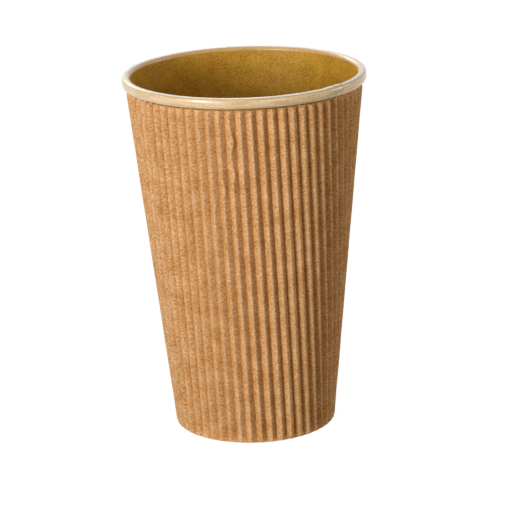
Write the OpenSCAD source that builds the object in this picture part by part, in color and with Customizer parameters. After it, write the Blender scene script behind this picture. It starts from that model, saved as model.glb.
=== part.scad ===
// Hot-drink cup of kraft board with a fluted kraft wrap.
// Millimetres. Origin at the middle of the foot, +Z up, the front of the cup faces -Y.
// Azimuths are degrees from the front, positive towards +X.

/* [Cup] */
// Overall diameter, across the rolled rim
cup_d = 90; // [78:0.5:108]
// Overall height, from the foot to the top of the rim
cup_h = 135; // [105:1:165]
// Outer diameter of the wall where it meets the table
foot_d = 57.2; // [47:0.2:69]
// Thickness of the wall's board
wall_t = 0.4; // [0.3:0.02:0.5]

/* [Rolled rim] */
// Width of the roll, seen in section
roll_w = 3.2; // [2.6:0.1:4]
// Height of the roll, seen in section
roll_h = 4; // [3.2:0.1:5]
// Air between two turns of the roll
roll_gap = 0.15; // [0.1:0.01:0.2]
// Angle that the board is rolled through
roll_sweep = 430; // [380:5:450]

/* [Base] */
// Height of the base's underside above the table
base_z = 9.4; // [6:0.2:13]
// Thickness of the base's board
base_t = 0.35; // [0.25:0.01:0.45]
// Inner radius of the bend between the disc and its skirt
base_bend = 0.5; // [0.3:0.05:0.8]
// Glue line on each side of the skirt
base_glue = 0.05; // [0.03:0.01:0.08]
// Room between the skirt's lower edge and the bottom of the fold that holds it
skirt_room = 0.2; // [0.1:0.05:0.4]

/* [Foot] */
// Room between the hem's upper edge and the disc
hem_room = 1.2; // [0.8:0.1:2]
// Radius of the foot's two outer corners
foot_round = 0.4; // [0.3:0.02:0.5]

/* [Side seam] */
// Azimuth of the wall's side seam
seam_turn = 47; // [0:1:360]
// Width of the lap at the side seam
seam_w = 7; // [5:0.5:9]
// Height of the step where the lapped ply ends
seam_step = 0.15; // [0.1:0.01:0.2]
// Room between the base and the lower end of the lapped ply
seam_room = 0.2; // [0.1:0.05:0.4]

/* [Fluted wrap] */
// Thickness of the wrap's ply
ply_t = 0.3; // [0.22:0.01:0.36]
// Distance from one flute to the next
flute_pitch = 3.9; // [3.2:0.1:4.8]
// Height of a flute
flute_h = 1.3; // [0.9:0.05:1.6]
// Place of a crest beside the middle of the blank
flute_shift = -0.25; // [-1.9:0.05:1.9]
// Air between the wrap and the wall
wrap_gap = 0.2; // [0.15:0.01:0.3]
// Height of the wrap's lower edge above the table
wrap_lift = 0.15; // [0.1:0.05:0.6]
// Room between the wrap's upper edge and the rolled rim
wrap_room = 0.15; // [0.1:0.05:0.4]
// Azimuth of the middle of the blank
wrap_turn = -17.75; // [-180:0.25:180]
// Width of the wrap's glued lap, at its upper edge
lap_w = 8; // [6:0.5:10]
// Glue line in the wrap's lap
lap_glue = 0.08; // [0.05:0.01:0.1]
// Length over which the flutes are crushed flat beside the lap
crush_w = 3; // [2:0.5:4]

/* [Hidden] */
$fn = 96;

kraft_wrap = [0.80, 0.58, 0.36];
kraft_wall = [0.70, 0.55, 0.30];
kraft_base = [0.64, 0.49, 0.25];

// The roll turns inwards after this angle and lies behind its own first turn from a full turn on
roll_tuck = 250;
roll_step = 10;
arc_steps = 6;
// The lapped ply of the side seam ends at this angle of the roll
seam_reach = 200;

// The wall is a cone. Its lean is set by the foot and by the roll that it runs into.
roll_rx = roll_w / 2;
roll_rz = roll_h / 2;
roll_mid = [cup_d / 2 - roll_rx, cup_h - roll_rz];
rough_lean = atan((roll_mid.x - roll_rx + wall_t - foot_d / 2) / roll_mid.y);
roll_start = atan(roll_rz / roll_rx * tan(rough_lean));
roll_root = roll_point(roll_start, wall_t);
lean = atan((roll_root.x - foot_d / 2) / roll_root.y);

// The fold at the foot holds the skirt and two glue lines
fold_w = base_t + 2 * base_glue;
fold_z = wall_t + fold_w / 2;
hem_depth = 2 * wall_t + fold_w;
hem_z = base_z - hem_room;

// The wrap's blank is a piece of a ring. Its cone is the one that the crests lie on.
crest_r = foot_d / 2 + (wrap_gap + ply_t + flute_h) / cos(lean);
cone_tip_z = -crest_r / tan(lean);
blank_low = crest_slant(wrap_lift);
blank_high = crest_slant(cup_h - roll_h - wrap_room);

// Angles on the flat blank, from its middle to the lines beside each end
seam_line = 180 * sin(lean);
half_lap = asin(lap_w / 2 / blank_high);
end_line = seam_line + half_lap;
flat_line = seam_line - half_lap - asin(lap_glue / blank_low);
crush_line = flat_line - asin(crush_w / blank_high);

// One flute in section: place across it as a share of the pitch, height as a share of the flute
flute_section = [[-0.38, 0], [-0.09, 0.9], [0, 1], [0.09, 0.9], [0.38, 0]];
corners = len(flute_section);
// More corners than half of any blank has
most_corners = 2000;

// Rows of faces along each flute, and strips of faces across each flat end
rows = 6;
strips = 3;
// Shortest column of faces, at the blank's upper corners
short_column = 1.5;

// The last corner whose column starts on the lower edge, and the last column, on each side
right_turn = last_corner(1, blank_low * sin(crush_line));
left_turn = last_corner(-1, blank_low * sin(crush_line));
right_end = last_column(1, crush_angle(right_turn));
left_end = last_column(-1, crush_angle(left_turn));

function on_wall(depth, z) = [foot_d / 2 - depth / cos(lean) + z * tan(lean), z];

function arc(mid, radius, from, to) =
    [for (i = [0:arc_steps]) let (a = from + (to - from) * i / arc_steps)
        mid + radius * [cos(a), sin(a)]];

// A point of the rolled board. Depth 0 is its outer face and wall_t its inner face.
function roll_tightness(a) =
    (wall_t + roll_gap) * min(1, max(0, (a - roll_tuck) / (360 - roll_tuck)));
function roll_point(a, depth) =
    let (d = depth + roll_tightness(a))
    roll_mid + [-(roll_rx - d) * cos(a), (roll_rz - d) * sin(a)];
function roll_angles() =
    [for (i = [0:floor((roll_sweep - roll_start) / roll_step)]) roll_start + i * roll_step];

// Middle of an arc of the given radius that runs into the face at the given depth of the wall
function corner_mid(depth, radius, side) =
    let (z = radius * (1 - side * sin(lean)))
    [on_wall(depth, z).x - side * radius * cos(lean), radius];

function wall_section() =
    let (angles = roll_angles(), last = len(angles) - 1)
    concat(
        [on_wall(hem_depth, hem_z)],
        arc(corner_mid(hem_depth, foot_round, -1), foot_round, 180 - lean, 270),
        arc(corner_mid(0, foot_round, 1), foot_round, -90, -lean),
        [for (i = [0:last]) roll_point(angles[i], wall_t)],
        [for (i = [last:-1:0]) roll_point(angles[i], 0)],
        arc(on_wall(wall_t + fold_w / 2, fold_z), fold_w / 2, -lean, -180 - lean),
        [on_wall(hem_depth - wall_t, hem_z)]
    );

// The lapped ply at the side seam, from the base up and over the roll
function seam_section() =
    let (angles = [for (a = roll_angles()) if (a < seam_reach) a], last = len(angles) - 1,
        low_z = base_z + base_t + seam_room)
    concat(
        [on_wall(wall_t / 2, low_z)],
        [for (i = [0:last]) roll_point(angles[i], wall_t / 2)],
        [for (i = [last:-1:0]) roll_point(angles[i], -seam_step)],
        [on_wall(wall_t + seam_step, low_z)]
    );

function base_section() =
    let (outer = base_bend + base_t,
        mid_z = base_z - base_bend,
        bend_z = mid_z - outer * sin(lean),
        mid_x = on_wall(wall_t + base_glue, bend_z).x - outer * cos(lean),
        skirt_z = fold_z + skirt_room)
    concat(
        [[0, base_z]],
        arc([mid_x, mid_z], base_bend, 90, -lean),
        [on_wall(wall_t + base_glue + base_t, skirt_z), on_wall(wall_t + base_glue, skirt_z)],
        arc([mid_x, mid_z], outer, -lean, 90),
        [[0, base_z + base_t]]
    );

// Distance from the cone's tip to a height on the cone of the crests
function crest_slant(z) = (crest_r + z * tan(lean)) / sin(lean);

// A point of the wrap: distance from the cone's tip, angle on the blank, height over the crests
function on_cone(slant, angle, rise) =
    let (turn = wrap_turn + angle / sin(lean),
        r = slant * sin(lean) + rise * cos(lean),
        z = cone_tip_z + slant * cos(lean) - rise * sin(lean))
    [r * sin(turn), -r * cos(turn), z];

// Corner n of the fluted ply in section, on its outer face and on its inner face
function flute_corner(n) =
    let (flute = floor(n / corners), share = flute_section[n - flute * corners])
    [(flute + share.x) * flute_pitch + flute_shift, (share.y - 1) * flute_h];
function upward(step) = [-step.y, step.x] / norm(step);
function inner_corner(n) =
    let (a = upward(flute_corner(n) - flute_corner(n - 1)),
        b = upward(flute_corner(n + 1) - flute_corner(n)))
    flute_corner(n) - ply_t * (a + b) / (1 + a * b);

function last_corner(side, reach) =
    max([for (i = [0:most_corners]) if (side * flute_corner(side * i).x < reach) i]) * side;
function crush_angle(n) = asin(abs(flute_corner(n).x) / blank_low);
function column_low(n) =
    let (x = flute_corner(n).x, turned = n > right_turn || n < left_turn,
        fold = crush_angle(n > 0 ? right_turn : left_turn))
    turned ? abs(x) / tan(fold) : sqrt(pow(blank_low, 2) - x * x);
function column_high(n) = sqrt(pow(blank_high, 2) - pow(flute_corner(n).x, 2));
function last_column(side, fold) =
    max([for (i = [0:most_corners]) let (x = abs(flute_corner(side * i).x))
        if (x < blank_high * sin(fold) && column_high(side * i) - x / tan(fold) > short_column) i])
    * side;

function column_at(n, row) = column_low(n) + (column_high(n) - column_low(n)) * row / rows;

// A column winds round the cone, so its straight faces sag inwards between two rows.
// Half of the sag is given back.
function facet_lift(n, v) =
    let (x = flute_corner(n).x, slant = norm([x, v]),
        wound = (column_high(n) - column_low(n)) / rows * x / slant)
    pow(wound, 2) / (16 * slant * sin(lean));

function fluted_points(inner) =
    [for (n = [left_end:right_end], row = [0:rows])
        let (p = inner ? inner_corner(n) : flute_corner(n), v = column_at(n, row))
        on_cone(norm([p.x, v]), atan2(p.x, v), p.y + facet_lift(n, v))];

// Each flat end of the blank starts where the flutes stop: at the foot of each column beside it,
// and then up the last column. Side is -1 for the left end and 1 for the right one.
left_columns = left_turn - left_end;
right_columns = right_end - right_turn;
left_steps = left_columns + rows;
right_steps = right_columns + rows;
function fold_column(side, step) =
    side < 0 ? max(left_turn - step, left_end) : min(right_turn + step, right_end);
function fold_row(side, step) = max(0, step - (side < 0 ? left_columns : right_columns));

// The right end lies on the left one, with a glue line between
function end_points(side, inner) =
    [for (step = [0:side < 0 ? left_steps : right_steps], strip = [1:strips])
        let (n = fold_column(side, step),
            slant = norm([flute_corner(n).x, column_at(n, fold_row(side, step))]),
            angle = [flat_line, seam_line, end_line][strip - 1],
            raise = side > 0 ? ply_t + lap_glue : 0)
        on_cone(slant, side * angle, raise - flute_h - (inner ? ply_t : 0))];

function wrap_points(inner) =
    concat(fluted_points(inner), end_points(-1, inner), end_points(1, inner));

// Numbers of the points: column and row on the fluted part, step and strip on a flat end
left_first = (right_end - left_end + 1) * (rows + 1);
right_first = left_first + (left_steps + 1) * strips;
face_points = right_first + (right_steps + 1) * strips;
function at_flute(n, row) = (n - left_end) * (rows + 1) + row;
function at_end(side, step, strip) =
    strip == 0 ? at_flute(fold_column(side, step), fold_row(side, step))
    : (side < 0 ? left_first : right_first) + step * strips + strip - 1;

// Four-cornered tiles, from the lower left corner anticlockwise, seen from outside the cup
function wrap_tiles() = concat(
    [for (n = [left_end:right_end - 1], row = [0:rows - 1])
        [at_flute(n, row), at_flute(n + 1, row), at_flute(n + 1, row + 1), at_flute(n, row + 1)]],
    [for (step = [0:left_steps - 1], strip = [0:strips - 1])
        [at_end(-1, step, strip + 1), at_end(-1, step, strip),
            at_end(-1, step + 1, strip), at_end(-1, step + 1, strip + 1)]],
    [for (step = [0:right_steps - 1], strip = [0:strips - 1])
        [at_end(1, step, strip), at_end(1, step, strip + 1),
            at_end(1, step + 1, strip + 1), at_end(1, step + 1, strip)]]
);

// The cut edge of the blank, all the way round, anticlockwise
function wrap_edge() = concat(
    [for (strip = [strips:-1:1]) at_end(-1, 0, strip)],
    [for (n = [left_turn:right_turn]) at_flute(n, 0)],
    [for (strip = [1:strips]) at_end(1, 0, strip)],
    [for (step = [1:right_steps]) at_end(1, step, strips)],
    [for (strip = [strips - 1:-1:1]) at_end(1, right_steps, strip)],
    [for (n = [right_end:-1:left_end]) at_flute(n, rows)],
    [for (strip = [1:strips]) at_end(-1, left_steps, strip)],
    [for (step = [left_steps - 1:-1:1]) at_end(-1, step, strips)]
);

function wrap_faces() =
    let (tiles = wrap_tiles(), edge = wrap_edge(), k = face_points, count = len(edge))
    concat(
        [for (t = tiles, half = [0:1]) half == 0 ? [t[0], t[3], t[2]] : [t[0], t[2], t[1]]],
        [for (t = tiles, half = [0:1])
            half == 0 ? [t[0] + k, t[2] + k, t[3] + k] : [t[0] + k, t[1] + k, t[2] + k]],
        [for (i = [0:count - 1], half = [0:1]) let (p = edge[i], q = edge[(i + 1) % count])
            half == 0 ? [p, q, q + k] : [p, q + k, p + k]]
    );

// Side wall of the inner cup: hem, cone and rolled rim in one board, with its side seam
module cup_wall() {
    color(kraft_wall)
    union() {
        rotate_extrude() polygon(wall_section());
        intersection() {
            rotate_extrude() polygon(seam_section());
            rotate(seam_turn)
            translate([-seam_w / 2, -cup_d, 0])
            cube([seam_w, cup_d, 2 * cup_h]);
        }
    }
}

// Base of the inner cup: a disc with its edge turned down
module cup_base() {
    color(kraft_base)
    rotate_extrude() polygon(base_section());
}

// Outer wrap: parallel flutes in the flat blank, which is then wound round the cone
module ripple_sleeve() {
    color(kraft_wrap)
    polyhedron(points = concat(wrap_points(false), wrap_points(true)), faces = wrap_faces());
}

cup_wall();
cup_base();
ripple_sleeve();
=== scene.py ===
"""Looks of the kraft hot-drink cup: its board, its fluted wrap, the soft studio light and the camera.

Sizes repeat the part's source, in millimetres times MM. Azimuths are degrees from the front, towards +X.
"""

import math

import bpy
import numpy as np
from mathutils import Matrix, Vector


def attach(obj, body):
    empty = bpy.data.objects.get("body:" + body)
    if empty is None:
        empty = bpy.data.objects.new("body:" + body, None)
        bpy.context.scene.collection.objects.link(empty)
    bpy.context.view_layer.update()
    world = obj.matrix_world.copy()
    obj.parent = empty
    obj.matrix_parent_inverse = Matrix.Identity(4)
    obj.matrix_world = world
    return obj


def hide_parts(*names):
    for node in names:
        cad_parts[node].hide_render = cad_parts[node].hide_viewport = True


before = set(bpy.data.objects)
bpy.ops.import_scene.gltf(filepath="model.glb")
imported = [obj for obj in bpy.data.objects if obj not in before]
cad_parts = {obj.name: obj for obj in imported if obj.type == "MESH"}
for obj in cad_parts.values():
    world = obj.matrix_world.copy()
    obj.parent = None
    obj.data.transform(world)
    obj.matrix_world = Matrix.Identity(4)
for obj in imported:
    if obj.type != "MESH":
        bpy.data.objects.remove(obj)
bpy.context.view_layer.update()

MM = 0.001

# The cup
CUP_D = 90 * MM
CUP_H = 135 * MM
FOOT_D = 57.2 * MM
WALL_T = 0.4 * MM

# The rolled rim. Angles of the roll run from its inner side, 0, over its top, 90, and on round to its end.
# From ROLL_TUCK on it winds in behind its own start, ROLL_GAP clear of it, and ROLL_SWEEP is its end
ROLL_W = 3.2 * MM
ROLL_H = 4 * MM
ROLL_GAP = 0.15 * MM
ROLL_SWEEP = 430
ROLL_TUCK = 250
ROLL_STEP = 7
# The outside of the roll is pressed a little flat: 1 is an ellipse, and less is flatter
ROLL_FLATNESS = 0.68

# The base and the hem that holds it
BASE_Z = 9.4 * MM
BASE_T = 0.35 * MM
BASE_BEND = 0.5 * MM
BASE_GLUE = 0.05 * MM
SKIRT_ROOM = 0.2 * MM
HEM_ROOM = 1.2 * MM
FOOT_ROUND = 0.4 * MM
# The disc hangs lower at its middle, out to a share of the foot's radius. Power 1 would make it a cone
BASE_SAG = 0.25 * MM
SAG_REACH = 0.92
SAG_POWER = 1.5
# Rings of the disc, as shares of its flat part's radius
BASE_RINGS = (0, 0.08, 0.2, 0.35, 0.5, 0.65, 0.8, 0.92)

# The side seam: azimuth, width and step of the lap, its room over the base, the roll's angle where it ends,
# and the widths of its cut edge and of its ramp
SEAM_TURN = 47
SEAM_W = 7 * MM
SEAM_STEP = 0.15 * MM
SEAM_ROOM = 0.2 * MM
SEAM_REACH = 200
SEAM_EDGE = 0.08 * MM
SEAM_RAMP = 1.6 * MM
# Vertices are on the seam's side of the cup from this far off the axis, and the lap's foot has this slack
SEAM_SIDE = CUP_D / 8
SEAM_SLACK = 0.01 * MM

# The fluted wrap: ply and flutes, room to the wall, foot and rim, turn, and the lap with its pressed ends
PLY_T = 0.3 * MM
FLUTE_PITCH = 3.9 * MM
FLUTE_H = 1.3 * MM
FLUTE_SHIFT = -0.25 * MM
WRAP_GAP = 0.2 * MM
WRAP_LIFT = 0.15 * MM
WRAP_ROOM = 0.15 * MM
WRAP_TURN = -17.75
LAP_W = 8 * MM
LAP_GLUE = 0.08 * MM
CRUSH_W = 3 * MM

# Faces round the spun pieces, up the wall, up its part beside the base, round a bend and along each flute
WALL_STEPS = 192
BASE_STEPS = 128
WALL_ROWS = 24
LOW_ROWS = 4
ARC_STEPS = 6
BEND_STEPS = 8
FLUTE_ROWS = 54
# Vertices closer than this are merged, and edges sharper than these degrees stay sharp
MERGE_DISTANCE = 0.001 * MM
SHARP_EDGE = 35
PLY_SHARP_EDGE = 50

# Camera, found from the photo's rim, sides and lower edge
CAMERA_DISTANCE = 856.3 * MM
CAMERA_TARGET = (2.151 * MM, 0, 63.518 * MM)
CAMERA_ELEVATION = 17.285
CAMERA_ROLL = -1.963
CAMERA_LENS = 159.7
CAMERA_SENSOR = 36
CAMERA_NEAREST = 0.05
CAMERA_FARTHEST = 20

# The wall is a cone that runs into the roll
roll_rx = ROLL_W / 2
roll_rz = ROLL_H / 2
roll_mid = (CUP_D / 2 - roll_rx, CUP_H - roll_rz)
rough_lean = math.atan((roll_mid[0] - roll_rx + WALL_T - FOOT_D / 2) / roll_mid[1])
roll_start = math.degrees(math.atan(roll_rz / roll_rx * math.tan(rough_lean)))


def roll_point(angle, depth):
    """Radius and height of the rolled board: depth 0 is its coated face, WALL_T its other face."""
    tucked = min(1, max(0, (angle - ROLL_TUCK) / (360 - ROLL_TUCK)))
    inward = depth + (WALL_T + ROLL_GAP) * tucked
    turn = math.radians(angle)
    across, up = math.cos(turn), math.sin(turn)
    power = ROLL_FLATNESS if across < 0 else 1
    return (roll_mid[0] - (roll_rx - inward) * math.copysign(abs(across) ** power, across),
            roll_mid[1] + (roll_rz - inward) * math.copysign(abs(up) ** power, up))


roll_root = roll_point(roll_start, WALL_T)
lean = math.atan((roll_root[0] - FOOT_D / 2) / roll_root[1])
tan_lean, sin_lean, cos_lean = math.tan(lean), math.sin(lean), math.cos(lean)


def on_wall(depth, z):
    """Radius and height of a point at a depth below the wall's outer face."""
    return (FOOT_D / 2 - depth / cos_lean + z * tan_lean, z)


def arc(middle, radius, start, end, steps=ARC_STEPS):
    """Points of an arc in the section, angles in degrees."""
    turns = [math.radians(start + (end - start) * i / steps) for i in range(steps + 1)]
    return [(middle[0] + radius * math.cos(t), middle[1] + radius * math.sin(t)) for t in turns]


def wall_line(depth, low, high, parts):
    """Points up the cone between two heights, without the two ends."""
    return [on_wall(depth, low + (high - low) * i / parts) for i in range(1, parts)]


# Making pieces


def deselect_all():
    """Leaves edit mode and deselects every object."""
    if bpy.context.object and bpy.context.object.mode != "OBJECT":
        bpy.ops.object.mode_set(mode="OBJECT")
    bpy.ops.object.select_all(action="DESELECT")


def coordinates(piece):
    """Places of the piece's vertices, one row each."""
    flat = np.empty(len(piece.data.vertices) * 3)
    piece.data.vertices.foreach_get("co", flat)
    return flat.reshape(-1, 3)


def place(piece, points):
    """Moves the piece's vertices to the given places."""
    piece.data.vertices.foreach_set("co", np.asarray(points, float).ravel())
    piece.data.update()


def set_attribute(piece, name, values):
    """Stores one value for each vertex."""
    attribute = piece.data.attributes.get(name) or piece.data.attributes.new(name, "FLOAT", "POINT")
    attribute.data.foreach_set("value", np.asarray(values, np.float32))


def get_attribute(piece, name):
    """The stored value of each vertex."""
    values = np.empty(len(piece.data.vertices), np.float32)
    piece.data.attributes[name].data.foreach_get("value", values)
    return values.astype(float)


def azimuths(points):
    """Degrees from the front, towards +X, of each point."""
    return np.degrees(np.arctan2(points[:, 0], -points[:, 1]))


def section_ring(name, section, facts):
    """A closed ring of edges with one vertex at each point of the section, behind the cup's axis."""
    deselect_all()
    bpy.ops.mesh.primitive_circle_add(vertices=len(section), radius=CUP_D / 2, fill_type="NOTHING")
    piece = bpy.context.object
    piece.name = name
    piece.data.name = name
    place(piece, [(0, r, z) for r, z in section])
    for fact, values in facts.items():
        set_attribute(piece, fact, values)
    return piece


def spin_round(piece, steps):
    """Turns the section once round the cup's axis into a closed board."""
    bpy.ops.object.mode_set(mode="EDIT")
    bpy.ops.mesh.select_all(action="SELECT")
    bpy.ops.mesh.spin(steps=steps, angle=math.tau, center=(0, 0, 0), axis=(0, 0, 1))
    bpy.ops.mesh.select_all(action="SELECT")
    bpy.ops.mesh.remove_doubles(threshold=MERGE_DISTANCE)
    bpy.ops.mesh.delete_loose()
    bpy.ops.mesh.select_all(action="SELECT")
    bpy.ops.mesh.normals_make_consistent(inside=False)
    bpy.ops.object.mode_set(mode="OBJECT")


def smooth(piece, sharp_edge=SHARP_EDGE):
    """Shades the piece smooth, but for edges over the given degrees."""
    deselect_all()
    piece.select_set(True)
    bpy.context.view_layer.objects.active = piece
    bpy.ops.object.shade_smooth_by_angle(angle=math.radians(sharp_edge))


def finish_piece(piece, node, slot, *materials):
    """The piece stands for its CAD node, rides on the cup and gets its materials."""
    for material in materials:
        piece.data.materials.append(material)
    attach(piece, "root")
    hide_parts(node)


# Cup wall: hem, cone and rolled rim in one board

fold_w = BASE_T + 2 * BASE_GLUE
fold_z = WALL_T + fold_w / 2
hem_depth = 2 * WALL_T + fold_w
hem_z = BASE_Z - HEM_ROOM
seam_low_z = BASE_Z + BASE_T + SEAM_ROOM


def corner_mid(depth, radius, side):
    """Middle of a foot corner that runs into the face at the given depth of the wall."""
    height = radius * (1 - side * sin_lean)
    return (on_wall(depth, height)[0] - side * radius * cos_lean, radius)


def roll_angles():
    """Angles of the roll at which the section has a point."""
    count = int((ROLL_SWEEP - roll_start) / ROLL_STEP)
    return [roll_start + i * ROLL_STEP for i in range(count + 1)]


def wall_section():
    """Outline of the board from the hem's end down, up the outside, over the roll and back down inside.

    With each point go its angle of the roll, 0 off the roll, and whether it is on the coated face.
    """
    lean_turn = math.degrees(lean)
    outer_top = roll_point(roll_start, WALL_T)[1]
    inner_top = roll_point(roll_start, 0)[1]
    hem_face = [on_wall(hem_depth, hem_z), on_wall(hem_depth, hem_z / 2)]
    foot_inner = arc(corner_mid(hem_depth, FOOT_ROUND, -1), FOOT_ROUND, 180 - lean_turn, 270)
    foot_outer = arc(corner_mid(0, FOOT_ROUND, 1), FOOT_ROUND, -90, -lean_turn)
    outside = wall_line(0, FOOT_ROUND, outer_top, WALL_ROWS)
    under_roll = [roll_point(a, WALL_T) for a in roll_angles()]
    over_roll = [roll_point(a, 0) for a in reversed(roll_angles())]
    inside = wall_line(WALL_T, inner_top, seam_low_z, WALL_ROWS)
    low_inside = wall_line(WALL_T, seam_low_z, fold_z, LOW_ROWS)
    fold = arc(on_wall(WALL_T + fold_w / 2, fold_z), fold_w / 2, -lean_turn, -180 - lean_turn)
    hem_back = [on_wall(hem_depth - WALL_T, hem_z / 2), on_wall(hem_depth - WALL_T, hem_z)]
    outer_half = hem_face + foot_inner + foot_outer + outside + under_roll
    inner_half = over_roll + inside + low_inside + fold + hem_back
    outer_turns = [0.0] * (len(outer_half) - len(under_roll)) + roll_angles()
    inner_turns = roll_angles()[::-1] + [0.0] * (len(inner_half) - len(over_roll))
    coated = [0.0] * len(outer_half) + [1.0] * len(inner_half)
    return outer_half + inner_half, outer_turns + inner_turns, coated


def along_section(section):
    """Distance along the section's outline to each of its points."""
    steps = [math.dist(a, b) for a, b in zip(section, section[1:])]
    return np.concatenate([[0], np.cumsum(steps)])


# The rim's own material starts at this angle of the roll
RIM_TURN = 20


def cut_seam_edges(piece):
    """Adds pairs of edge loops at both borders of the seam's lap, on that side of the cup only."""
    turn = math.radians(SEAM_TURN)
    across = Vector((math.cos(turn), math.sin(turn), 0))
    seam_way = np.array([math.sin(turn), -math.cos(turn)])
    for offset in (-SEAM_W / 2 - SEAM_RAMP, -SEAM_W / 2, SEAM_W / 2, SEAM_W / 2 + SEAM_EDGE):
        bpy.ops.object.mode_set(mode="EDIT")
        bpy.ops.mesh.select_all(action="DESELECT")
        bpy.ops.object.mode_set(mode="OBJECT")
        near_seam = coordinates(piece)[:, :2] @ seam_way > SEAM_SIDE
        chosen = [all(near_seam[list(face.vertices)]) for face in piece.data.polygons]
        piece.data.polygons.foreach_set("select", chosen)
        bpy.ops.object.mode_set(mode="EDIT")
        bpy.ops.mesh.bisect(plane_co=across * offset, plane_no=across)
        bpy.ops.object.mode_set(mode="OBJECT")


def raise_seam(piece):
    """Lifts the lapped ply on the coated face, with a ramp on one side and a cut edge on the other."""
    points = coordinates(piece)
    turn = math.radians(SEAM_TURN)
    across = points[:, 0] * math.cos(turn) + points[:, 1] * math.sin(turn)
    facing = points[:, 0] * math.sin(turn) - points[:, 1] * math.cos(turn)
    ramp = np.clip((across + SEAM_W / 2 + SEAM_RAMP) / SEAM_RAMP, 0, 1)
    cut = np.clip((SEAM_W / 2 + SEAM_EDGE - across) / SEAM_EDGE, 0, 1)
    lap = np.minimum(ramp, cut) * (facing > 0)
    turns = get_attribute(piece, "roll_turn")
    coated = get_attribute(piece, "coated")
    lifted = lap * coated * (points[:, 2] >= seam_low_z - SEAM_SLACK) * (turns < SEAM_REACH)
    radius = np.hypot(points[:, 0], points[:, 1])
    angle = np.radians(turns)
    outward_r = np.where(turns > 0, -np.cos(angle) * roll_rz, -cos_lean)
    outward_z = np.where(turns > 0, np.sin(angle) * roll_rx, sin_lean)
    length = np.hypot(outward_r, outward_z)
    shift_r = lifted * SEAM_STEP * outward_r / length
    points[:, 0] *= 1 + shift_r / radius
    points[:, 1] *= 1 + shift_r / radius
    points[:, 2] += lifted * SEAM_STEP * outward_z / length
    place(piece, points)
    set_attribute(piece, "seam", lap * coated)


def wind_sheet_map(piece, name):
    """UV map in metres: distance round the cup, and distance along the board's section."""
    mesh = piece.data
    points = coordinates(piece)
    corner_vertex = np.empty(len(mesh.loops), int)
    mesh.loops.foreach_get("vertex_index", corner_vertex)
    starts = np.empty(len(mesh.polygons), int)
    mesh.polygons.foreach_get("loop_start", starts)
    totals = np.empty(len(mesh.polygons), int)
    mesh.polygons.foreach_get("loop_total", totals)
    turns = np.radians(azimuths(points))[corner_vertex]
    face_turn = np.repeat(turns[starts], totals)
    turns = face_turn + (turns - face_turn + math.pi) % math.tau - math.pi
    along = get_attribute(piece, "along")[corner_vertex]
    layer = mesh.uv_layers.get(name) or mesh.uv_layers.new(name=name)
    layer.data.foreach_set("uv", np.stack([turns * CUP_D / 2, along], axis=1).ravel())


def make_cup_wall():
    section, turns, coated = wall_section()
    facts = {"roll_turn": turns, "coated": coated, "along": along_section(section)}
    piece = section_ring("coated_wall", section, facts)
    spin_round(piece, WALL_STEPS)
    cut_seam_edges(piece)
    raise_seam(piece)
    wind_sheet_map(piece, "sheet")
    turns = get_attribute(piece, "roll_turn")
    rolled = [min(turns[list(face.vertices)]) > RIM_TURN for face in piece.data.polygons]
    piece.data.polygons.foreach_set("material_index", np.array(rolled, int))
    smooth(piece)
    return piece


# Base: a disc with its edge turned down


def base_section():
    """Outline of the disc and its skirt, from the middle of the underside round to the middle on top."""
    lean_turn = math.degrees(lean)
    outer = BASE_BEND + BASE_T
    middle_z = BASE_Z - BASE_BEND
    bend_z = middle_z - outer * sin_lean
    middle = (on_wall(WALL_T + BASE_GLUE, bend_z)[0] - outer * cos_lean, middle_z)
    skirt_z = fold_z + SKIRT_ROOM
    radii = [middle[0] * share for share in BASE_RINGS]
    under = [(r, BASE_Z) for r in radii]
    over = [(r, BASE_Z + BASE_T) for r in reversed(radii)]
    skirt_inner = on_wall(WALL_T + BASE_GLUE + BASE_T, skirt_z)
    skirt_outer = on_wall(WALL_T + BASE_GLUE, skirt_z)
    inner_bend = arc(middle, BASE_BEND, 90, -lean_turn, BEND_STEPS)
    outer_bend = arc(middle, outer, -lean_turn, 90, BEND_STEPS)
    return under + inner_bend + [skirt_inner, skirt_outer] + outer_bend + over


def sag_base(piece):
    """The disc hangs a little lower at its middle."""
    points = coordinates(piece)
    reach = np.hypot(points[:, 0], points[:, 1]) / (FOOT_D / 2)
    points[:, 2] -= BASE_SAG * np.clip(1 - reach / SAG_REACH, 0, 1) ** SAG_POWER
    place(piece, points)


def make_cup_base():
    piece = section_ring("cup_floor", base_section(), {})
    spin_round(piece, BASE_STEPS)
    sag_base(piece)
    smooth(piece)
    return piece


# Wrap: parallel flutes in a flat blank, wound round the cone

crest_r = FOOT_D / 2 + (WRAP_GAP + PLY_T + FLUTE_H) / cos_lean
cone_tip_z = -crest_r / tan_lean
blank_low = (crest_r + WRAP_LIFT * tan_lean) / sin_lean
blank_high = (crest_r + (CUP_H - ROLL_H - WRAP_ROOM) * tan_lean) / sin_lean
seam_line = math.pi * sin_lean
half_lap = math.asin(LAP_W / 2 / blank_high)
end_line = seam_line + half_lap
flat_line = seam_line - half_lap - math.asin(LAP_GLUE / blank_low)
crush_line = flat_line - math.asin(CRUSH_W / blank_high)

# Shortest column of faces, at the blank's upper corners
SHORT_COLUMN = 0.5 * MM
# Half a flute in shares of the pitch: a rounded crest, a straight flank and a narrow groove
CREST_ROUND = 0.10
GROOVE_START = 0.47
GROOVE_ROUND = 0.06
FORM_POINTS = 126
# Columns of faces across half a flute, closest where its form is round
COLUMN_PLACES = (0.04, 0.10, 0.27, 0.44, 0.475)
# How far the ridges lie to the right of their marks, how far single ones stray, and how heights differ
RIDGE_DRIFT = 0.14 * MM
RIDGE_STRAY = 0.16 * MM
RIDGE_UNEVEN = 0.05
# Seed of the single strays, and shares of them and of the slow drift in the whole
STRAY_SEED = 11
STRAY_SINGLE = 0.6
STRAY_DRIFT = 0.5
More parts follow.
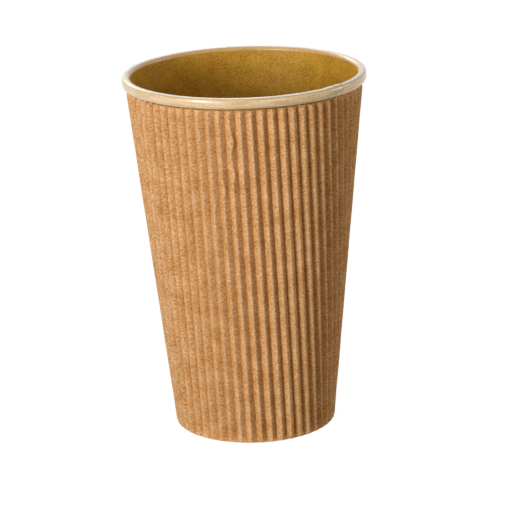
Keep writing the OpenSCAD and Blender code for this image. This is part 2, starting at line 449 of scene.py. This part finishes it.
# Waves of the drift and of the uneven height: seed, count, shortest and longest
DRIFT_WAVES = (5, 4, 45 * MM, 120 * MM)
UNEVEN_WAVES = (23, 5, 15 * MM, 60 * MM)
# The waves are cut out of one long line, and from ridge to ridge that line moves on by this many pitches
DRIFT_SHIFT = 9
UNEVEN_SHIFT = 5
# The flutes' tips end a little under the rim and are pressed in there.
# At the foot the grooves are pressed out into a lip
TIP_ROOM = 0.6 * MM
TIP_LENGTH = 1.8 * MM
TIP_DROP = 0.6 * MM
LIP_LENGTH = 1.5 * MM
LIP_RISE = 0.85
# Where the ends are pressed flat: the height left of a ridge, and the level of the flutes' painted shade
# there, between groove, 0, and crest, 1
PRESSED_RIDGE = 0.03 * MM
PRESSED_SHADE = 0.75
# More flutes than half of the blank has
MOST_FLUTES = 60
# How much closer the rows of faces lie at a flute's ends, and over which shares of its length that fades
END_ROWS = 7
LOW_END = 0.008
HIGH_END = 0.010
# The same beside the creases, and between which shares of the length
CREASE_ROWS = 0.9
CREASES_START = 0.66
CREASES_END = 0.98
CREASES_FADE = 0.05
# Points at which the rows are reckoned before the final ones are picked
SHARE_POINTS = 2001
# Creases in the front ridges: flute, heights where each begins, is widest and ends, and its width
CREASES = (
    (2, 125 * MM, 118 * MM, 115 * MM, 0.28),
    (2, 113 * MM, 106 * MM, 103 * MM, 0.22),
    (1, 104 * MM, 100 * MM, 97.5 * MM, 0.22),
    (0, 96.5 * MM, 94.5 * MM, 92.5 * MM, 0.16),
)
# How far to the right and to the left of the crest a crease moves the ply, in shares of the pitch
CREASE_RIGHT = 0.5
CREASE_LEFT = 0.25


def ease(x):
    """Rises smoothly from 0 to 1."""
    x = np.clip(x, 0, 1)
    return x * x * (3 - 2 * x)


def waves(seed, count, shortest, longest):
    """A few sine waves with fixed random lengths and starts, for slow changes along a line."""
    draw = np.random.RandomState(seed)
    lengths = draw.uniform(shortest, longest, count)
    starts = draw.uniform(0, math.tau, count)
    return lambda x: sum(np.sin(math.tau * x / l + s) for l, s in zip(lengths, starts)) / count


def flute_form():
    """Places from crest to groove in shares of the pitch, and the height there over the groove, 0 to 1."""
    across = np.linspace(0, 0.5, FORM_POINTS)
    steep = ease(across / CREST_ROUND) * ease((GROOVE_START + GROOVE_ROUND / 2 - across) / GROOVE_ROUND)
    fall = np.cumsum(steep)
    return across, 1 - fall / fall[-1]


def flute_height(phase):
    """Height over the groove, 0 to 1. Phase counts flutes, with a crest at each whole number."""
    across, height = flute_form()
    return np.interp(np.abs(phase - np.round(phase)), across, height)


def stray(phase, v):
    """Sideways shift of the ridges: its own for each flute, and a slow drift along it."""
    own = np.random.RandomState(STRAY_SEED).uniform(-1, 1, 2 * MOST_FLUTES)
    whole = np.floor(phase).astype(int)
    part = ease(phase - whole)
    single = own[whole + MOST_FLUTES] * (1 - part) + own[whole + 1 + MOST_FLUTES] * part
    drift = waves(*DRIFT_WAVES)(v + DRIFT_SHIFT * FLUTE_PITCH * phase)
    return RIDGE_DRIFT + RIDGE_STRAY * (STRAY_SINGLE * single + STRAY_DRIFT * drift)


def on_cone(slant, angle, rise):
    """Where a point of the wound blank lies: distance from the cone's tip, angle, rise over the crests."""
    turn = math.radians(WRAP_TURN) + angle / sin_lean
    r = slant * sin_lean + rise * cos_lean
    z = cone_tip_z + slant * cos_lean - rise * sin_lean
    return np.stack([r * np.sin(turn), -r * np.cos(turn), z], axis=-1)


def column_phases():
    """Places of the columns across the blank, counted in flutes."""
    half = list(COLUMN_PLACES)
    one_flute = [-across for across in reversed(half)] + [0] + half + [0.5]
    return np.array([flute + across for flute in range(-MOST_FLUTES, MOST_FLUTES) for across in one_flute])


def row_shares():
    """Places of the rows along a column, from 0 to 1, closest at its two ends and along the creases."""
    share = np.linspace(0, 1, SHARE_POINTS)
    rows = 1 + END_ROWS * np.exp(-share / LOW_END) + END_ROWS * np.exp((share - 1) / HIGH_END)
    into_creases = ease((share - CREASES_START) / CREASES_FADE)
    out_of_creases = ease((CREASES_END - share) / CREASES_FADE)
    rows += CREASE_ROWS * into_creases * out_of_creases
    count = np.cumsum(rows) - rows[0]
    return np.interp(np.linspace(0, 1, FLUTE_ROWS + 1), count / count[-1], share)


def blank_grid():
    """Columns across the blank and rows along the flutes: phase, and place across, u, and along, v."""
    phase = column_phases()
    u = phase * FLUTE_PITCH + FLUTE_SHIFT
    inside = np.abs(u) < blank_high * math.sin(end_line)
    phase, u = phase[inside], u[inside]
    high = np.sqrt((blank_high - TIP_ROOM) ** 2 - u ** 2)
    turned = np.abs(u) > blank_low * math.sin(end_line)
    low_arc = np.sqrt(np.maximum(blank_low ** 2 - u ** 2, 0))
    low = np.where(turned, np.abs(u) / math.tan(end_line), low_arc)
    kept = high - low > SHORT_COLUMN
    phase, u, low, high = phase[kept], u[kept], low[kept], high[kept]
    v = low[:, None] + (high - low)[:, None] * row_shares()[None, :]
    rows = v.shape[1]
    return np.repeat(phase[:, None], rows, axis=1), np.repeat(u[:, None], rows, axis=1), v


def flattened(angle):
    """0 where the flutes stand and 1 where the ends of the blank are pressed flat for the lap."""
    return ease((np.abs(angle) - crush_line) / (flat_line - crush_line))


def crease_stretch(phase, z):
    """How far the crest is pushed out to its right by the creases, as a share of the pitch."""
    stretch = np.zeros_like(z)
    for flute, top_z, wide_z, end_z, width in CREASES:
        along = ease((top_z - z) / (top_z - wide_z)) * ease((z - end_z) / (wide_z - end_z))
        stretch = np.maximum(stretch, width * along * (np.round(phase) == flute))
    return stretch


def wrap_form(phase, u, v):
    """The ply's outer face: its sideways shift, its height over the cone of the crests, and the level of
    its painted shade.

    The level of painted shade is the height over the groove, from 0 to 1 at the crest.
    """
    slant = np.hypot(u, v)
    angle = np.arctan2(u, v)
    flat = flattened(angle)
    z = cone_tip_z + slant * cos_lean
    uneven = 1 - RIDGE_UNEVEN * (0.5 + 0.5 * waves(*UNEVEN_WAVES)(v + UNEVEN_SHIFT * u))
    height = flute_height(phase)
    tip = ease(1 - (blank_high - TIP_ROOM - slant) / TIP_LENGTH)
    lip = ease(1 - (slant - blank_low) / LIP_LENGTH)
    off = phase - np.round(phase)
    stretch = crease_stretch(phase, z)
    beside = np.where(off > 0, ease(1 - off / CREASE_RIGHT), ease(1 + off / CREASE_LEFT))
    shift = stray(phase, v) + stretch * FLUTE_PITCH * beside * height ** 0.5
    depth = FLUTE_H * (1 - LIP_RISE * lip)
    fluted = (height * uneven - 1) * depth - tip * TIP_DROP * height
    lift = np.where(angle > 0, PLY_T + LAP_GLUE, 0)
    crease = PRESSED_RIDGE * height
    rise = fluted * (1 - flat) + (lift - FLUTE_H + crease) * flat
    return shift * (1 - flat), rise, height * (1 - flat) + PRESSED_SHADE * flat


def face_outwards(piece):
    """Turns the faces of the single ply to the outside of the cup."""
    bpy.ops.object.mode_set(mode="EDIT")
    bpy.ops.mesh.select_all(action="SELECT")
    bpy.ops.mesh.normals_make_consistent(inside=False)
    bpy.ops.object.mode_set(mode="OBJECT")
    first = piece.data.polygons[0]
    if first.normal.dot(Vector((first.center.x, first.center.y, 0))) < 0:
        piece.data.flip_normals()


def thicken_ply(piece):
    """Gives the ply its thickness, inwards, with the second material on its cut edges."""
    ply = piece.modifiers.new("ply", "SOLIDIFY")
    ply.thickness = PLY_T
    ply.offset = -1
    ply.use_even_offset = True
    ply.material_offset_rim = 1
    bpy.ops.object.modifier_apply(modifier="ply")


def make_fluted_wrap():
    """A grid from -1 to 1, each of whose vertices is put where the wound blank has it."""
    phase, u, v = blank_grid()
    columns, rows = u.shape
    deselect_all()
    bpy.ops.mesh.primitive_grid_add(x_subdivisions=columns - 1, y_subdivisions=rows - 1, size=2)
    piece = bpy.context.object
    piece.name = "fluted_wrap"
    piece.data.name = "fluted_wrap"
    grid = coordinates(piece)
    column = np.round((grid[:, 0] + 1) / 2 * (columns - 1)).astype(int)
    row = np.round((grid[:, 1] + 1) / 2 * (rows - 1)).astype(int)
    phase, u, v = phase[column, row], u[column, row], v[column, row]
    shift, rise, ridge = wrap_form(phase, u, v)
    place(piece, on_cone(np.hypot(u, v), np.arctan2(u + shift, v), rise))
    # The ridge height sets the level of the painted shade in the wrap's material
    set_attribute(piece, "ridge", ridge)
    corner_vertex = np.empty(len(piece.data.loops), int)
    piece.data.loops.foreach_get("vertex_index", corner_vertex)
    layer = piece.data.uv_layers[0]
    layer.name = "blank"
    layer.data.foreach_set("uv", np.stack([u, v], axis=1)[corner_vertex].ravel())
    face_outwards(piece)
    thicken_ply(piece)
    smooth(piece, PLY_SHARP_EDGE)
    return piece


# Materials

# Fibres of the kraft in three crossing layers: direction in degrees, width, length and shift of the pattern
FIBRE_LAYERS = (
    (12, 0.34 * MM, 1.4 * MM, 0.013),
    (74, 0.32 * MM, 1.2 * MM, 0.029),
    (-47, 0.36 * MM, 1.3 * MM, 0.041),
)
MOTTLING_SIZE = 0.7 * MM
FIBRE_SHARE = 0.6
MOTTLING_SHARE = 0.4
# How fine the noise is: its layers for fibres and mottling, and for clouds
FINE_DETAIL = 2.0
CLOUD_DETAIL = 3.0
# How strongly the grain and the slow clouds change the kraft's colour
GRAIN_STRENGTH = 5.4
CLOUD_STRENGTH = 1.2
CLOUD_SIZE = 7 * MM
# Dark specks: spacing and size, the share of cells that stay empty, a speck's solid share, and strengths
SMALL_SPECKS = (3.2 * MM, 0.22 * MM)
BIG_SPECKS = (14 * MM, 0.34 * MM)
SPECK_EMPTY = 0.66
SPECK_SOLID = 0.6
SMALL_SPECK_STRENGTH = 0.45
SPECK_STRENGTH = 0.6
# Contrast of the kraft on each surface
WRAP_CONTRAST = 1.0
COATED_CONTRAST = 0.75
RIM_CONTRAST = 0.9
BASE_CONTRAST = 0.8
# Finishes: depth of the grain, roughness and specular level
WRAP_FINISH = (0.05 * MM, 0.6, 0.03)
COATED_FINISH = (0.02 * MM, 0.5, 0.15)
RIM_FINISH = (0.02 * MM, 0.4, 0.3)
BASE_FINISH = (0.02 * MM, 0.4, 0.5)
RIM_COAT = {"Coat Weight": 0.9, "Coat IOR": 1.6, "Coat Roughness": 0.3}
# Heights on a flute, 0 in the groove and 1 on the crest, where the flank's painted shade is full and where
# the painted shade ends
FLANK_SHADE = 0.12
CREST_SHADE = 0.95
# Angles of the roll over which the inside turns pale, and where the rim's own colour is full
PALING = (4, 60)
RIM_FULL = 100
# Over the top of the roll a pale band is painted in as a highlight, with a line of painted shade beside it.
# Each has the angles of the roll where it starts, is full, fades and ends, and a strength
PAINTED_HIGHLIGHT_BAND = (58, 70, 117, 125)
PAINTED_HIGHLIGHT_STRENGTH = 0.85
PAINTED_SHADE_LINE = (122, 129, 136, 145)
PAINTED_SHADE_STRENGTH = 0.6
# Streaks along the roll: direction, width, length and shift, the range of the noise used, and their share
RIM_STREAKS = (90, 0.36 * MM, 8 * MM, 0.05)
STREAK_RANGE = (0.36, 0.6)
STREAK_SHARE = 0.55
# The mark of the seam on the rim: size of its clouds, the range of the noise used, and its strength
MARK_SIZE = 1.6 * MM
MARK_RANGE = (0.42, 0.58)
MARK_STRENGTH = 0.7

# Colours in linear light
WHITE = (1, 1, 1, 1)
KRAFT_LIGHT = (1.0, 0.635, 0.36, 1)
KRAFT_DARK = (0.63, 0.285, 0.07, 1)
KRAFT_SPECK = (0.10, 0.045, 0.015, 1)
# Painted shade on the flutes: darkest in the grooves, lighter on the flanks, and none on the crests
FLANK_PAINTED_SHADE = (0.84, 0.76, 0.62, 1)
GROOVE_PAINTED_SHADE = (0.68, 0.53, 0.31, 1)
CUT_LIGHT = (0.74, 0.44, 0.21, 1)
CUT_DARK = (0.54, 0.28, 0.11, 1)
COATED_LIGHT = (0.70, 0.40, 0.055, 1)
COATED_DARK = (0.37, 0.165, 0.004, 1)
RIM_LIGHT = (1.0, 0.77, 0.50, 1)
RIM_DARK = (0.66, 0.40, 0.13, 1)
# A painted highlight over the top of the roll, and painted shade in a line beside it
RIM_PAINTED_HIGHLIGHT = (1.0, 0.95, 0.86, 1)
RIM_PAINTED_SHADE = (0.58, 0.34, 0.12, 1)
SEAM_MARK = (0.50, 0.35, 0.12, 1)


def start_material(name):
    """A new material and its node tree."""
    material = bpy.data.materials.new(name)
    material.use_nodes = True
    return material, material.node_tree


def input_socket(node, name):
    """A node's input by its name, with _ for a space, or by its place, where the name is i and a number."""
    if name[0] == "i" and name[1:].isdigit():
        return node.inputs[int(name[1:])]
    return node.inputs[name.replace("_", " ")]


def add_node(tree, kind, settings=None, **inputs):
    """A node with its settings and its inputs: a number, a colour or another node's output."""
    made = tree.nodes.new(kind)
    for name, value in (settings or {}).items():
        setattr(made, name, value)
    for name, value in inputs.items():
        socket = input_socket(made, name)
        if isinstance(value, bpy.types.NodeSocket):
            tree.links.new(value, socket)
        else:
            socket.default_value = value
    return made


def calculate(tree, operation, a, b):
    """The result of one operation on two values."""
    return add_node(tree, "ShaderNodeMath", {"operation": operation}, i0=a, i1=b).outputs[0]


def mix_colours(tree, share, a, b, blend="MIX"):
    """Colour a where the share is 0 and colour b where it is 1."""
    made = add_node(tree, "ShaderNodeMix", {"data_type": "RGBA", "blend_type": blend}, i0=share, i6=a, i7=b)
    return made.outputs[2]


def between(tree, value, low, high):
    """0 at low, 1 at high, straight between them and level outside."""
    made = add_node(tree, "ShaderNodeMapRange", {"clamp": True}, Value=value)
    made.inputs["From Min"].default_value = low
    made.inputs["From Max"].default_value = high
    return made.outputs[0]


def band(tree, value, start, full, fade, end):
    """0 outside start and end, 1 between full and fade."""
    return calculate(tree, "MINIMUM", between(tree, value, start, full), between(tree, value, end, fade))


def carried_value(tree, name):
    """A value that the piece carries on its vertices."""
    return add_node(tree, "ShaderNodeAttribute", {"attribute_name": name}).outputs["Fac"]


def sheet_place(tree, name):
    """Place on the piece's flat sheet, in metres, from its UV map."""
    return add_node(tree, "ShaderNodeUVMap", {"uv_map": name}).outputs[0]


def cloud(tree, where, size, detail=CLOUD_DETAIL):
    """Soft noise round 0.5, its clouds about as wide as the given size."""
    return add_node(tree, "ShaderNodeTexNoise", Vector=where, Scale=1 / size, Detail=detail).outputs[0]


def fibre_streaks(tree, where, turn, width, length, shift):
    """Streaks of the given width and length in one direction of the sheet."""
    mapping = add_node(tree, "ShaderNodeMapping", {"vector_type": "TEXTURE"}, Vector=where)
    mapping.inputs["Location"].default_value = (shift, shift, shift)
    mapping.inputs["Rotation"].default_value = (0, 0, math.radians(turn))
    mapping.inputs["Scale"].default_value = (width, length, width)
    return cloud(tree, mapping.outputs[0], 1.0, FINE_DETAIL)


def kraft_grain(tree, where):
    """Fibres that lie every way in the sheet, with fine mottling between them, as a value round 0.5."""
    first, second, third = [fibre_streaks(tree, where, *layer) for layer in FIBRE_LAYERS]
    light = calculate(tree, "MAXIMUM", first, calculate(tree, "MAXIMUM", second, third))
    dark = calculate(tree, "MINIMUM", first, calculate(tree, "MINIMUM", second, third))
    fibres = calculate(tree, "MULTIPLY", calculate(tree, "ADD", light, dark), 0.5)
    mottling = cloud(tree, where, MOTTLING_SIZE, FINE_DETAIL)
    fibres = calculate(tree, "MULTIPLY", fibres, FIBRE_SHARE)
    mottling = calculate(tree, "MULTIPLY", mottling, MOTTLING_SHARE)
    return calculate(tree, "ADD", fibres, mottling)


def specks(tree, where, spacing, size):
    """1 in small dots, at most one in each cell of the given spacing, and none in most cells."""
    cells = add_node(tree, "ShaderNodeTexVoronoi", {"feature": "F1"}, Vector=where, Scale=1 / spacing)
    near = between(tree, cells.outputs["Distance"], size / spacing, size / spacing * SPECK_SOLID)
    apart = add_node(tree, "ShaderNodeSeparateColor", Color=cells.outputs["Color"])
    chosen = calculate(tree, "GREATER_THAN", apart.outputs[0], SPECK_EMPTY)
    return calculate(tree, "MULTIPLY", near, chosen)


def kraft_colour(tree, where, light, dark, contrast):
    """Kraft between two colours, with fibres, slow clouds and a few dark specks, and its grain."""
    grain = calculate(tree, "SUBTRACT", kraft_grain(tree, where), 0.5)
    slow = calculate(tree, "SUBTRACT", cloud(tree, where, CLOUD_SIZE), 0.5)
    share = calculate(tree, "MULTIPLY", grain, GRAIN_STRENGTH * contrast)
    share = calculate(tree, "ADD", share, calculate(tree, "MULTIPLY", slow, CLOUD_STRENGTH * contrast))
    share = calculate(tree, "ADD", share, 0.5)
    colour = mix_colours(tree, between(tree, share, 0, 1), dark, light)
    small = calculate(tree, "MULTIPLY", specks(tree, where, *SMALL_SPECKS), SMALL_SPECK_STRENGTH)
    spots = calculate(tree, "MAXIMUM", small, specks(tree, where, *BIG_SPECKS))
    return mix_colours(tree, calculate(tree, "MULTIPLY", spots, SPECK_STRENGTH), colour, KRAFT_SPECK), share


def coated_colour(tree, where, turn):
    """The coated inside, paler where it starts to roll, and its grain."""
    kraft, grain = kraft_colour(tree, where, COATED_LIGHT, COATED_DARK, COATED_CONTRAST)
    return mix_colours(tree, between(tree, turn, *PALING), kraft, RIM_DARK), grain


def finish_surface(tree, colour, height, depth, roughness, specular):
    """Connects colour and bump to the material's shader and sets its sheen."""
    shader = tree.nodes["Principled BSDF"]
    tree.links.new(colour, shader.inputs["Base Color"])
    shader.inputs["Roughness"].default_value = roughness
    shader.inputs["Specular IOR Level"].default_value = specular
    bump = add_node(tree, "ShaderNodeBump", Strength=1.0, Distance=depth, Height=height)
    tree.links.new(bump.outputs[0], shader.inputs["Normal"])
    return shader


def wrap_material(name, light, dark):
    """Matt kraft paper with the fibres of the flat blank, with shade painted into its colour, darker
    towards the grooves.
    """
    material, tree = start_material(name)
    colour, grain = kraft_colour(tree, sheet_place(tree, "blank"), light, dark, WRAP_CONTRAST)
    ridge = carried_value(tree, "ridge")
    # Painted shade by the ridge height: darkest in the grooves, lighter on the flanks, none on the crests
    painted_shade = mix_colours(tree, between(tree, ridge, 0, FLANK_SHADE), GROOVE_PAINTED_SHADE, FLANK_PAINTED_SHADE)
    painted_shade = mix_colours(tree, between(tree, ridge, FLANK_SHADE, CREST_SHADE), painted_shade, WHITE)
    colour = mix_colours(tree, 1.0, colour, painted_shade, "MULTIPLY")
    finish_surface(tree, colour, grain, *WRAP_FINISH)
    return material


def inner_material():
    """Coated kraft board inside the cup, satin."""
    material, tree = start_material("coated_kraft")
    colour, grain = coated_colour(tree, sheet_place(tree, "sheet"), carried_value(tree, "roll_turn"))
    finish_surface(tree, colour, grain, *COATED_FINISH)
    return material


def rim_material():
    """The same board stretched over the rolled rim: pale, glossy, with streaks along the roll."""
    material, tree = start_material("rolled_rim")
    where = sheet_place(tree, "sheet")
    turn = carried_value(tree, "roll_turn")
    rim, grain = kraft_colour(tree, where, RIM_LIGHT, RIM_DARK, RIM_CONTRAST)
    streaks = between(tree, fibre_streaks(tree, where, *RIM_STREAKS), *STREAK_RANGE)
    rim = mix_colours(tree, STREAK_SHARE, rim, mix_colours(tree, streaks, RIM_DARK, RIM_LIGHT))
    # A line of painted shade beside the top of the roll
    dark = calculate(tree, "MULTIPLY", band(tree, turn, *PAINTED_SHADE_LINE), PAINTED_SHADE_STRENGTH)
    rim = mix_colours(tree, dark, rim, RIM_PAINTED_SHADE)
    # A painted highlight in a pale band over the top of the roll
    pale = calculate(tree, "MULTIPLY", band(tree, turn, *PAINTED_HIGHLIGHT_BAND), PAINTED_HIGHLIGHT_STRENGTH)
    rim = mix_colours(tree, pale, rim, RIM_PAINTED_HIGHLIGHT)
    patches = between(tree, cloud(tree, where, MARK_SIZE), *MARK_RANGE)
    mark = calculate(tree, "MULTIPLY", carried_value(tree, "seam"), patches)
    rim = mix_colours(tree, calculate(tree, "MULTIPLY", mark, MARK_STRENGTH), rim, SEAM_MARK)
    inner = coated_colour(tree, where, turn)[0]
    colour = mix_colours(tree, between(tree, turn, RIM_TURN, RIM_FULL), inner, rim)
    shader = finish_surface(tree, colour, grain, *RIM_FINISH)
    for name, value in RIM_COAT.items():
        shader.inputs[name].default_value = value
    return material


def base_material():
    """Kraft board of the base, seen from above and from below."""
    material, tree = start_material("base_kraft")
    where = add_node(tree, "ShaderNodeTexCoord").outputs["Object"]
    colour, grain = kraft_colour(tree, where, COATED_LIGHT, COATED_DARK, BASE_CONTRAST)
    finish_surface(tree, colour, grain, *BASE_FINISH)
    return material


# Studio: floor, light and camera

FLOOR_SIZE = 8.0
FLOOR_GREY = (0.12, 0.12, 0.12, 1)
FLOOR_GLOW = 0.97
FLOOR_ROUGHNESS = 0.9
LAMP_DISTANCE = 1.1
WHITE_LIGHT = (1, 1, 1)
WARM_LIGHT = (1, 0.93, 0.76)
# Softboxes: name, azimuth, elevation, size, level and colour
SOFTBOXES = (
    ("key", -41, 12, 0.25, 0.59, WHITE_LIGHT),
    ("key_high", -38, 35, 0.4, 0.22, WHITE_LIGHT),
    ("front_right", 26, 16, 0.4, 0.14, WARM_LIGHT),
    ("right_back", 95, 12, 0.4, 0.27, WARM_LIGHT),
    ("back_left", -150, 30, 0.35, 0.20, WARM_LIGHT),
    ("back", 180, 40, 0.3, 0.13, WARM_LIGHT),
)


def seen_directly(tree):
    """1 for rays from the camera and for mirrored and passing ones, which see a white background."""
    path = add_node(tree, "ShaderNodeLightPath")
    seen = calculate(tree, "MAXIMUM", path.outputs["Is Camera Ray"], path.outputs["Is Glossy Ray"])
    return calculate(tree, "MAXIMUM", seen, path.outputs["Is Transmission Ray"])


def make_floor():
    """A grey floor that takes the cup's shadow and is nearly white where it is seen directly."""
    deselect_all()
    bpy.ops.mesh.primitive_plane_add(size=FLOOR_SIZE, location=(0, 0, 0))
    floor = bpy.context.object
    floor.name = "floor"
    material, tree = start_material("pale_floor")
    shader = tree.nodes["Principled BSDF"]
    shader.inputs["Base Color"].default_value = FLOOR_GREY
    shader.inputs["Roughness"].default_value = FLOOR_ROUGHNESS
    shader.inputs["Specular IOR Level"].default_value = 0.0
    shader.inputs["Emission Color"].default_value = WHITE
    glow = calculate(tree, "MULTIPLY", seen_directly(tree), FLOOR_GLOW)
    tree.links.new(glow, shader.inputs["Emission Strength"])
    floor.data.materials.append(material)


def light_world():
    """A world that gives no light of its own and is white where it is seen directly."""
    world = bpy.data.worlds.new("studio")
    bpy.context.scene.world = world
    world.use_nodes = True
    tree = world.node_tree
    background = tree.nodes["Background"]
    background.inputs["Color"].default_value = WHITE
    tree.links.new(seen_directly(tree), background.inputs["Strength"])


def add_softbox(name, azimuth, elevation, size, level, colour):
    """A square lamp aimed at the cup. Level 1 lights a facing surface so that it renders its own colour."""
    turn, rise = math.radians(azimuth), math.radians(elevation)
    way = Vector((math.sin(turn) * math.cos(rise), -math.cos(turn) * math.cos(rise), math.sin(rise)))
    lamp = bpy.data.lights.new(name, "AREA")
    lamp.shape = "SQUARE"
    lamp.size = size
    lamp.color = colour
    lamp.energy = level * math.pi ** 2 * LAMP_DISTANCE ** 2
    softbox = bpy.data.objects.new(name, lamp)
    softbox.location = Vector((0, 0, CUP_H / 2)) + way * LAMP_DISTANCE
    softbox.rotation_euler = way.to_track_quat("Z", "Y").to_euler()
    bpy.context.scene.collection.objects.link(softbox)


def add_camera():
    """The photo's camera, rolled a little, aimed at its target."""
    rise, roll = math.radians(CAMERA_ELEVATION), math.radians(CAMERA_ROLL)
    back = Vector((0, -math.cos(rise), math.sin(rise)))
    level_right = Vector((1, 0, 0))
    level_up = back.cross(level_right)
    right = math.cos(roll) * level_right + math.sin(roll) * level_up
    up = math.cos(roll) * level_up - math.sin(roll) * level_right
    camera = bpy.data.cameras.new("camera")
    camera.sensor_width = CAMERA_SENSOR
    camera.lens = CAMERA_LENS
    camera.clip_start = CAMERA_NEAREST
    camera.clip_end = CAMERA_FARTHEST
    holder = bpy.data.objects.new("camera", camera)
    turned = Matrix((right, up, back)).transposed().to_4x4()
    holder.matrix_world = Matrix.Translation(Vector(CAMERA_TARGET) + back * CAMERA_DISTANCE) @ turned
    bpy.context.scene.collection.objects.link(holder)
    bpy.context.scene.camera = holder


finish_piece(make_cup_wall(), "cup_wall", "coated_board", inner_material(), rim_material())
finish_piece(make_cup_base(), "cup_base", "base_board", base_material())
finish_piece(make_fluted_wrap(), "ripple_sleeve", "kraft_ply",
             wrap_material("kraft_paper", KRAFT_LIGHT, KRAFT_DARK),
             wrap_material("kraft_cut_edge", CUT_LIGHT, CUT_DARK))
make_floor()
light_world()
for softbox in SOFTBOXES:
    add_softbox(*softbox)
add_camera()

bpy.context.scene.view_settings.view_transform = "Standard"
